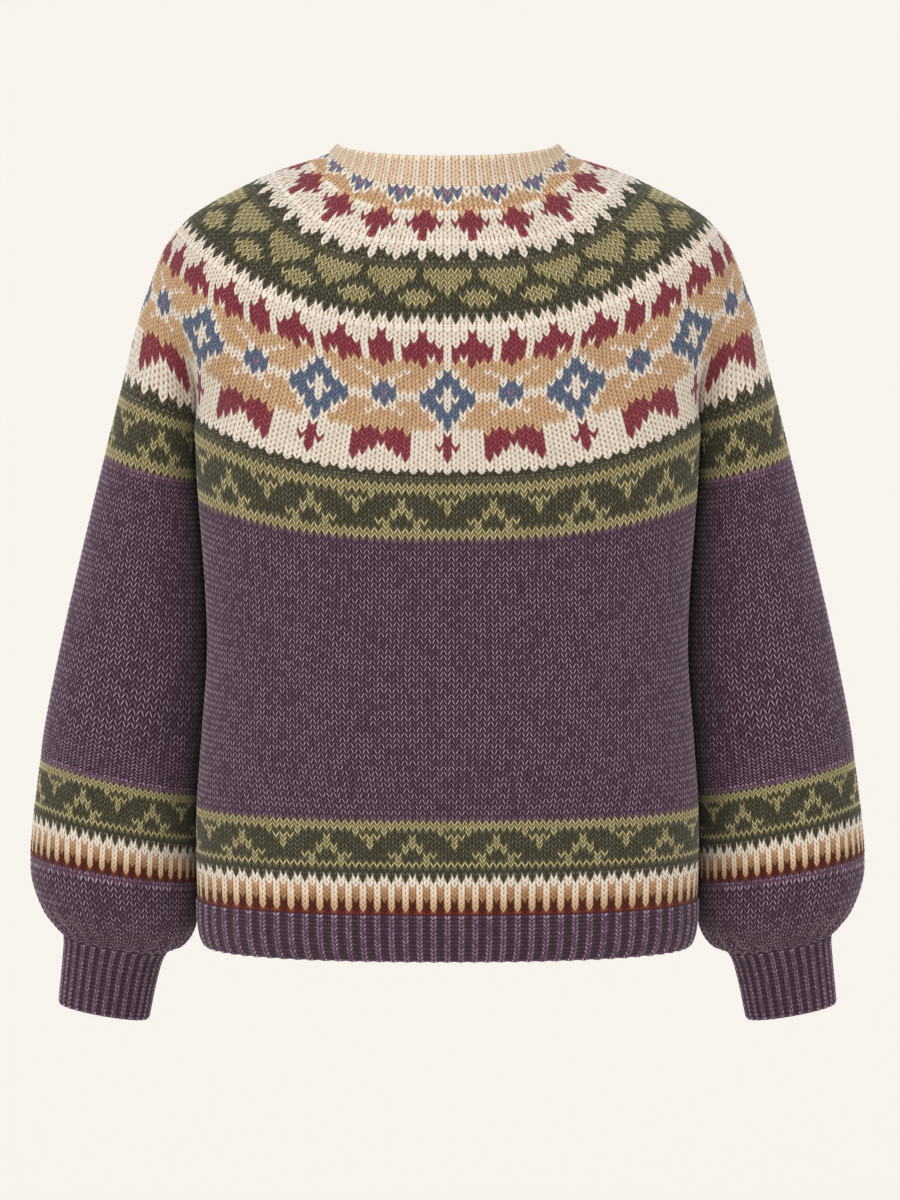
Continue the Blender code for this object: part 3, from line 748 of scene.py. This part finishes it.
def add_inside(cloth, zones, top, bottom):
    """The plain inner layer, and the rims that join it to the outside."""
    before = None
    for zone in zones:
        count = zone.inner.shape[1]
        u = (zone.column + 0.5)[::2]
        v = zone.done + zone.inner_rows / 2.0
        faces, places = grid(cloth.start, count, u, v)
        add_hidden(cloth, zone, faces[:, ::-1], places[:, ::-1], LINING_BAND)
        lines = [
            line_of(
                cloth.start + r * count + np.arange(len(u)) % count, zone.ends[end][::2], u, v[r],
            )
            for r, end in ((0, 0), (len(v) - 1, 1))
        ]
        if before:
            faces, places = strip(before, lines[0])
            add_hidden(cloth, zone, faces[:, ::-1], places[:, ::-1], LINING_BAND)
        else:
            faces, places = strip(lines[0], top)
            add_hidden(cloth, zone, faces, places, RIM_BAND)
        before = lines[1]
        cloth.points.append(zone.inner.reshape(-1, 3))
        if not zone.closed:
            add_side_edges(cloth, zone)
        cloth.start += zone.inner.shape[0] * count
    faces, places = strip(bottom, before)
    add_hidden(cloth, zones[-1], faces, places, LAST_RIM_BAND)


# %% [markdown]
# ## A finished piece
# `garment_piece` hands the points and faces to Blender in one go, in metres. The wool of each
# stitch is stored as a colour on its faces, so one material can serve every piece. The left
# sleeve is the right one mirrored, with its faces turned round so that they still point out.

# %% Write the mesh
def garment_piece(name, zones, material, mirror=False, sectors=1):
    rows = 0
    for zone in zones:
        zone.done = rows
        rows += zone.rows
    cloth = SimpleNamespace(points=[], parts=[], start=0, rows=rows, sectors=sectors)
    top, bottom = add_outside(cloth, zones)
    add_inside(cloth, zones, top, bottom)
    points, parts = np.vstack(cloth.points) * MM, cloth.parts
    if mirror:
        points[:, 0] *= -1.0
        parts = [(f[:, ::-1], p[:, ::-1], b[:, ::-1], w) for f, p, b, w in parts]
    mesh = bpy.data.meshes.new(name)
    mesh.from_pydata(points.tolist(), [], [face for part in parts for face in part[0].tolist()])
    mesh.shade_smooth()
    for map_name, k in (("stitches", 1), ("OFBake", 2)):
        values = np.concatenate([part[k].reshape(-1) for part in parts]).astype(np.float32)
        mesh.uv_layers.new(name=map_name).data.foreach_set("uv", values)
    for attribute, by_wool in (("wool", COLOURS), ("traits", TRAITS)):
        values = np.concatenate(
            [np.repeat(by_wool[part[3]], part[0].shape[1], axis=0).reshape(-1) for part in parts]
        ).astype(np.float32)
        layer = mesh.color_attributes.new(attribute, "FLOAT_COLOR", "CORNER")
        layer.data.foreach_set("color", values)
    mesh.materials.append(material)
    piece = bpy.data.objects.new(name, mesh)
    bpy.context.scene.collection.objects.link(piece)
    triangles = sum(len(part[0]) * (part[0].shape[1] - 2) for part in parts)
    print(f"{name}: {triangles} triangles")
    return piece


# %% [markdown]
# ## The wool's material
# One material serves every piece. It reads the wool's colour from the mesh. From the place
# inside a stitch it works out the painted shade in the gaps, the holes, and the light fibres
# and painted highlights along each leg. Wool is matt, so the shader is rough, with little
# specular. The fibres follow the stitch's own coordinates, because a pattern in space would
# slide over the folds.

# %% The wool material
def add_node(tree, kind, *inputs, **settings):
    """Adds a node. Each input is a value or another node's output, in socket order."""
    node = tree.nodes.new(kind)
    for key, value in settings.items():
        setattr(node, key, value)
    for socket, value in zip(node.inputs, inputs):
        if isinstance(value, bpy.types.NodeSocket):
            tree.links.new(value, socket)
        elif value is not None:
            socket.default_value = value
    return node


def math_node(tree, operation, *inputs):
    return add_node(tree, "ShaderNodeMath", *inputs, operation=operation).outputs[0]


def soft_step(tree, value, low, high):
    """0 where value is at low, 1 where it is at high."""
    node = add_node(
        tree, "ShaderNodeMapRange", value, low, high, 0.0, 1.0, interpolation_type="SMOOTHSTEP",
    )
    return node.outputs[0]


def mix_colour(tree, share, first, second, blend="MIX"):
    node = tree.nodes.new("ShaderNodeMix")
    node.data_type = "RGBA"
    node.blend_type = blend
    for index, value in ((0, share), (6, first), (7, second)):
        socket = node.inputs[index]
        if isinstance(value, bpy.types.NodeSocket):
            tree.links.new(value, socket)
        else:
            socket.default_value = value
    return node.outputs[2]


def knitted_wool():
    material = bpy.data.materials.new("stranded_wool")
    material.use_nodes = True
    tree = material.node_tree
    shader = tree.nodes["Principled BSDF"]

    def add(a, b): return math_node(tree, "ADD", a, b)
    def times(a, b): return math_node(tree, "MULTIPLY", a, b)
    def less(a): return math_node(tree, "SUBTRACT", 1.0, a)
    def near(value, low, high): return less(soft_step(tree, value, low, high))
    def grey(value): return add_node(tree, "ShaderNodeCombineColor", value, value, value).outputs[0]
    def away(value, centre):
        """0 where value is at centre, 1 half a unit away from it."""
        shifted = math_node(tree, "FRACT", math_node(tree, "SUBTRACT", value, centre - 0.5))
        return math_node(tree, "ABSOLUTE", math_node(tree, "MULTIPLY_ADD", shifted, 2.0, -1.0))

    place = add_node(tree, "ShaderNodeUVMap", uv_map="stitches").outputs[0]
    split = add_node(tree, "ShaderNodeSeparateXYZ", place)
    u, v = split.outputs[0], split.outputs[1]
    from_middle, from_border = away(u, 0.5), away(u, 0.0)
    from_edge, from_row = away(v, 0.0), away(v, 0.5)
    from_leg = away(times(u, 2.0), 0.5)
    wool = add_node(tree, "ShaderNodeVertexColor", layer_name="wool").outputs[0]
    traits = add_node(tree, "ShaderNodeVertexColor", layer_name="traits").outputs[0]
    trait = add_node(tree, "ShaderNodeSeparateColor", traits)
    holes, gap_shade, flecks_and_highlights = trait.outputs[0], trait.outputs[1], trait.outputs[2]
    # A chance value for every leg, and one for every hole.
    leg = add_node(
        tree, "ShaderNodeCombineXYZ", math_node(tree, "FLOOR", times(u, 2.0)),
        math_node(tree, "FLOOR", v), 0.0,
    ).outputs[0]
    leg_chance = add_node(tree, "ShaderNodeTexWhiteNoise", leg, noise_dimensions="2D").outputs[0]
    hole = add_node(
        tree, "ShaderNodeCombineXYZ", math_node(tree, "ROUND", times(u, 2.0)),
        math_node(tree, "ROUND", times(v, 2.0)), 0.0,
    ).outputs[0]
    hole_chance = add_node(tree, "ShaderNodeTexWhiteNoise", hole, noise_dimensions="2D").outputs[0]
    # Slow changes of tone over a hand's breadth, and fibres along each leg.
    slow_place = add_node(
        tree, "ShaderNodeCombineXYZ", times(u, 0.13), times(v, 0.09), 0.0,
    ).outputs[0]
    slow = add_node(tree, "ShaderNodeTexNoise", slow_place, None, 1.0, 2.0, 0.5).outputs[0]
    fibre_place = add_node(
        tree, "ShaderNodeCombineXYZ", times(u, 9.0), times(v, 2.2), leg_chance,
    ).outputs[0]
    fibres = add_node(tree, "ShaderNodeTexNoise", fibre_place, None, 1.0, 2.0, 0.6).outputs[0]
    # A light stroke along each leg: light fibres in the heather, and a painted highlight on the
    # leg's crown. It follows the zigzag of the row.
    across = less(soft_step(tree, from_row, 0.05, 0.45))
    along = less(soft_step(tree, from_leg, 0.20, 0.80))
    lively = soft_step(tree, add(times(leg_chance, 0.9), times(fibres, 0.7)), 0.2, 1.1)
    fleck_and_highlight = times(times(across, along), times(lively, flecks_and_highlights))
    # Painted shade in the gaps between the rows, widest at the borders of the stitches, and in
    # notches where legs meet. It also stands for darker strands behind.
    at_border = add(times(less(from_border), 0.35), 0.75)
    between = times(soft_step(tree, from_row, 0.30, 0.85), at_border)
    notch = times(soft_step(tree, from_leg, 0.45, 1.0), 0.6)
    painted_gap_shade = times(math_node(tree, "MINIMUM", math_node(tree, "MAXIMUM", between, notch), 1.0), gap_shade)
    # Holes: in the middle of the stitch at its row's edge, and between stitches at its middle.
    middle = times(near(from_middle, 0.06, 0.34), near(from_edge, 0.15, 0.75))
    border = times(near(from_border, 0.06, 0.34), near(from_row, 0.15, 0.75))
    either = math_node(tree, "MAXIMUM", middle, border)
    opening = times(either, times(holes, soft_step(tree, hole_chance, -0.9, 0.8)))
    tone = add(times(leg_chance, 0.12), add(times(fibres, 0.3), times(slow, 0.2)))
    colour = mix_colour(tree, 1.0, wool, grey(add(tone, 0.70)), "MULTIPLY")
    colour = mix_colour(tree, 1.0, colour, grey(less(painted_gap_shade)), "MULTIPLY")
    # The light fibres and the painted highlights are a lighter shade of the same wool.
    light = add_node(tree, "ShaderNodeGamma", wool, 0.36).outputs[0]
    colour = mix_colour(tree, fleck_and_highlight, colour, light)
    colour = mix_colour(tree, opening, colour, (*linear("#94561F"), 1.0))
    tree.links.new(colour, shader.inputs["Base Color"])
    shader.inputs["Roughness"].default_value = 0.92
    shader.inputs["Specular IOR Level"].default_value = 0.15
    shader.inputs["Sheen Weight"].default_value = 0.1
    shader.inputs["Sheen Roughness"].default_value = 0.6
    bump = add_node(tree, "ShaderNodeBump")
    bump.inputs["Strength"].default_value = 0.35
    bump.inputs["Distance"].default_value = 0.0004
    tree.links.new(fibres, bump.inputs["Height"])
    tree.links.new(bump.outputs[0], shader.inputs["Normal"])
    return material


wool_material = knitted_wool()
print("material:", wool_material.name)

# %% [markdown]
# ## The yoke and the collar
# The yoke is knitted in zones. Every zone has more stitches than the one above it, and the
# change falls in a plain row. One zone alone would make the stitches more than twice as wide
# at the underarm as at the neck. The collar is a band of narrow ribs.

# %% Knit the yoke and the collar
def spread(*pairs):
    """Row edges: (level, rows to the next level) pairs, the last with 0 rows."""
    edges = [pairs[0][0]]
    for (level, rows), (following, _) in zip(pairs, pairs[1:]):
        edges.extend(np.linspace(level, following, rows + 1)[1:])
    return np.array(edges)


def constant(value):
    return lambda level: value


def lattice_stretch(level):
    levels = [114.0, 131.0, 146.0, 160.0, 185.0, 238.0]
    return (
        np.interp(level, levels, [0.10, 0.09, 0.03, 0.02, 0.015, 0.015]),
        np.interp(level, levels, [0.00, 0.00, -0.01, -0.03, -0.10, -0.10]),
    )


def lattice_ring(drop, turns):
    """The yoke's ring, but over the arms its lower rows lie a little higher."""
    over_arm = ease((0.25 - np.abs((turns % 0.5) - 0.25)) * 20.0 - 3.4)
    lift = 5.0 * ease((drop - 165.0) / 50.0) * ease((YOKE_DEPTH - drop) / 8.0)
    if lift == 0.0:
        return yoke_ring(drop, turns)
    on_body, on_arm = yoke_ring(drop, turns), yoke_ring(drop - lift, turns)
    return on_body + over_arm[:, None] * (on_arm - on_body)


ABOVE = {"end": (0.55, 0.0)}      # a zone with another below it
BELOW = {"start": (0.3, 0.8)}     # a zone with another above it
yoke_zones = [
    fabric(
        yoke_ring, spread((0.0, 1), (1.8, 1), (7.8, 1), (12.3, 1), (16.2, 1), (19.8, 0)),
        knit_from(SPRIGS, 5, 80), stretch=constant(0.02), **ABOVE,
    ),
    fabric(
        yoke_ring, spread((19.8, 6), (46.2, 0)),
        knit_from(LEAVES, 6, 108, 3), stretch=constant(-0.08), **ABOVE, **BELOW,
    ),
    fabric(
        yoke_ring, spread((46.2, 5), (65.3, 0)),
        knit_from(CREAM_POINTS, 6, 126), stretch=constant(-0.02), **ABOVE, **BELOW,
    ),
    fabric(
        yoke_ring, spread((65.3, 1), (69.1, 7), (99.2, 2), (106.7, 1), (111.2, 1), (115.2, 0)),
        knit_from(TRIANGLES, 8, 168), stretch=constant(-0.02), **ABOVE, **BELOW,
    ),
    fabric(
        lattice_ring,
        spread((115.2, 8), (147.3, 3), (156.3, 11), (197.9, 8), (231.2, 3), (YOKE_DEPTH, 0)),
        knit_from(LATTICE, 16, 192), stretch=lattice_stretch, **BELOW,
    ),
]
yoke = garment_piece("yoke_knit", yoke_zones, wool_material, sectors=2)

collar_zone = fabric(
    yoke_ring, spread((-COLLAR_DEPTH, 7), (0.0, 0)), knit_from(alternate("C", "c") * 7, 2, 90),
    stretch=constant(0.02), round_start=1.0, rib=1,
)
collar = garment_piece("collar_knit", [collar_zone], wool_material)

# %% [markdown]
# ## The body and its hem
# The body is knitted in the round. Its back and front meet at the sides, in the middle of
# the armpit, and each half is an open strip, so that it is a piece of its own. The hem is a
# 1x1 rib: knit columns stand out, and purl columns sink in.

# %% Knit the body and the hem
BODY_COLUMNS = 168
side_turn = body_turn((ARMPIT_BACK_Y + ARMPIT_FRONT_Y) / 2)
side_column = round(side_turn * BODY_COLUMNS - 0.5) + 0.5
print("columns from the centre back to the side seam:", side_column)


def body_stretch(level):
    depths = [245, 300, 400, 470, 515, 630]
    return float(np.interp(-level, depths, [-0.04, 0.0, 0.09, 0.03, -0.09, -0.09]))


def body_offset(level, turns):
    return fold_offsets(BODY_FOLDS, level, turns)


body_rows = spread(
    (UNDERARM_Z, 1), (-244.9, 11), (-289.6, 51), (-515.2, 12), (-559.3, 8), (HEM_TOP_Z, 0),
)
body_wools = np.vstack([
    knit_from(BAND_ON_BODY + heather(51, 2, 1), 12, BODY_COLUMNS),
    knit_from(PEAK_BAND, 12, BODY_COLUMNS, 1),
    knit_from(FRINGE, 2, BODY_COLUMNS),
])
rib_wools = knit_from(alternate("K", "q") * 12, 2, BODY_COLUMNS)
rib_rows = spread((HEM_TOP_Z, 12), (HEM_END_Z, 0))
spans = {"back": (-side_column, side_column), "front": (side_column, BODY_COLUMNS - side_column)}
pieces = {"yoke": yoke, "collar_rib": collar}
for side, (first, last) in spans.items():
    zone = fabric(
        body_ring, body_rows, body_wools, first, last, stretch=body_stretch,
        offset=body_offset, closed=False,
    )
    pieces[f"body_{side}"] = garment_piece(f"body_{side}_knit", [zone], wool_material)
    zone = fabric(
        body_ring, rib_rows, rib_wools, first, last, stretch=body_stretch, closed=False,
        rib=2, round_end=1.0,
    )
    pieces[f"hem_rib_{side}"] = garment_piece(f"hem_rib_{side}_knit", [zone], wool_material)

# %% [markdown]
# ## The sleeves and their cuffs
# A sleeve's rows lie along its stations, which number its rings from the armhole (0) to the
# end of the cuff (13). Above the cuff the cloth is gathered in small tucks. The left sleeve
# is the right one mirrored, as a pair is knitted from one pattern.

# %% Knit the sleeves and the cuffs
GATHERS = 22
GATHER_HEIGHT = 2.6
GATHER_STATIONS = 2.2


def sleeve_offset(station, turns):
    gathered = ease(1.0 - abs(station - (CUFF_STATION - 0.9)) / GATHER_STATIONS)
    tucks = -0.5 * GATHER_HEIGHT * np.cos(2 * np.pi * GATHERS * turns)
    return fold_offsets(SLEEVE_FOLDS, station, turns) + gathered * tucks


for side in ("left", "right"):
    mirror = side == "left"
    zones = [
        fabric(
            sleeve_ring, spread((0.0, 1), (0.045, 11), (0.95, 1), (1.02, 0)),
            knit_from(BAND_ON_BODY + plain("p"), 12, 48, 17), offset=sleeve_offset, **ABOVE,
        ),
        fabric(
            sleeve_ring, spread((1.02, 20), (2.30, 18), (3.50, 17), (4.81, 0)),
            knit_from(heather(55, 1, 0), 12, 56), offset=sleeve_offset, **ABOVE, **BELOW,
        ),
        fabric(
            sleeve_ring, spread((4.81, 1), (4.905, 12), (5.90, 8), (6.88, 1), (7.04, 0)),
            knit_from(plain("p") + PEAK_BAND + FRINGE + plain("p"), 12, 84, 21),
            offset=sleeve_offset, **ABOVE, **BELOW,
        ),
        fabric(
            sleeve_ring, spread((7.04, 5), (8.3, 5), (9.5, 5), (CUFF_STATION, 0)),
            knit_from(heather(15, 0, 1), 12, 66), offset=sleeve_offset, **BELOW,
        ),
    ]
    pieces[f"sleeve_{side}"] = garment_piece(f"sleeve_{side}_knit", zones, wool_material, mirror)
    cuff = fabric(
        sleeve_ring, spread((CUFF_STATION, 6), (12.0, 11), (CUFF_END, 0)),
        knit_from(alternate("K", "q") * 17, 2, 56), rib=2, round_end=1.0,
    )
    pieces[f"cuff_{side}"] = garment_piece(f"cuff_{side}_knit", [cuff], wool_material, mirror)

# %% [markdown]
# ## Attach the pieces and hide the solids
# Each knitted piece hangs from the root body, and the solid whose place it takes is hidden.

# %% Attach the pieces, hide the solids
for node, piece in pieces.items():
    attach(piece, "root")
    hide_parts(node)
print(len(pieces), "pieces")

# %% [markdown]
# ## Floor, light and camera
# A pale studio: a wide floor, soft light from both sides, and a long lens that looks at the
# back from slightly above.

# %% Floor and light
BACKGROUND = linear("#F7F2EB")


def make_stage():
    material = bpy.data.materials.new("studio_paper")
    material.use_nodes = True
    shader = material.node_tree.nodes["Principled BSDF"]
    shader.inputs["Base Color"].default_value = (*BACKGROUND, 1.0)
    shader.inputs["Roughness"].default_value = 1.0
    shader.inputs["Specular IOR Level"].default_value = 0.0
    bpy.ops.mesh.primitive_plane_add(size=400.0, location=(0.0, 0.0, -1.4))
    paper = bpy.context.object
    paper.name = "studio_floor"
    paper.data.materials.append(material)


def add_light(name, strength, softness, place):
    """A wide, distant lamp that shines on the origin from a place."""
    data = bpy.data.lights.new(name, "SUN")
    data.energy, data.angle = strength, math.radians(softness)
    light = bpy.data.objects.new(name, data)
    bpy.context.scene.collection.objects.link(light)
    light.location = place
    light.rotation_euler = (-Vector(place)).to_track_quat("-Z", "Y").to_euler()


make_stage()
add_light("key", 1.15, 70.0, (-2.6, -3.6, 3.2))
add_light("fill", 0.6, 90.0, (3.2, -3.4, 0.8))
world = bpy.context.scene.world or bpy.data.worlds.new("studio")
bpy.context.scene.world = world
world.use_nodes = True
world.node_tree.nodes["Background"].inputs[0].default_value = (1.0, 1.0, 1.0, 1.0)
world.node_tree.nodes["Background"].inputs[1].default_value = 0.75
bpy.context.scene.view_settings.view_transform = "Standard"

# %% [markdown]
# The photograph's frame is 0.72 by 0.96 m at the sweater, seen from 6.5 degrees above.

# %% Camera
ELEVATION = math.radians(6.5)
DISTANCE = 14.0
FRAME_HEIGHT = 0.96
up = np.array([0.0, math.sin(ELEVATION), math.cos(ELEVATION)])
towards = np.array([0.0, math.cos(ELEVATION), -math.sin(ELEVATION)])
target = np.array([0.002, 0.0, 0.0]) - 0.348 * up
camera_data = bpy.data.cameras.new("camera")
camera_data.sensor_fit = "VERTICAL"
camera_data.sensor_height = 36.0
camera_data.lens = 36.0 * DISTANCE / FRAME_HEIGHT
camera_data.clip_end = 500.0
camera = bpy.data.objects.new("camera", camera_data)
camera.location = target - DISTANCE * towards
camera.rotation_euler = (math.pi / 2 - ELEVATION, 0.0, 0.0)
bpy.context.scene.collection.objects.link(camera)
bpy.context.scene.camera = camera
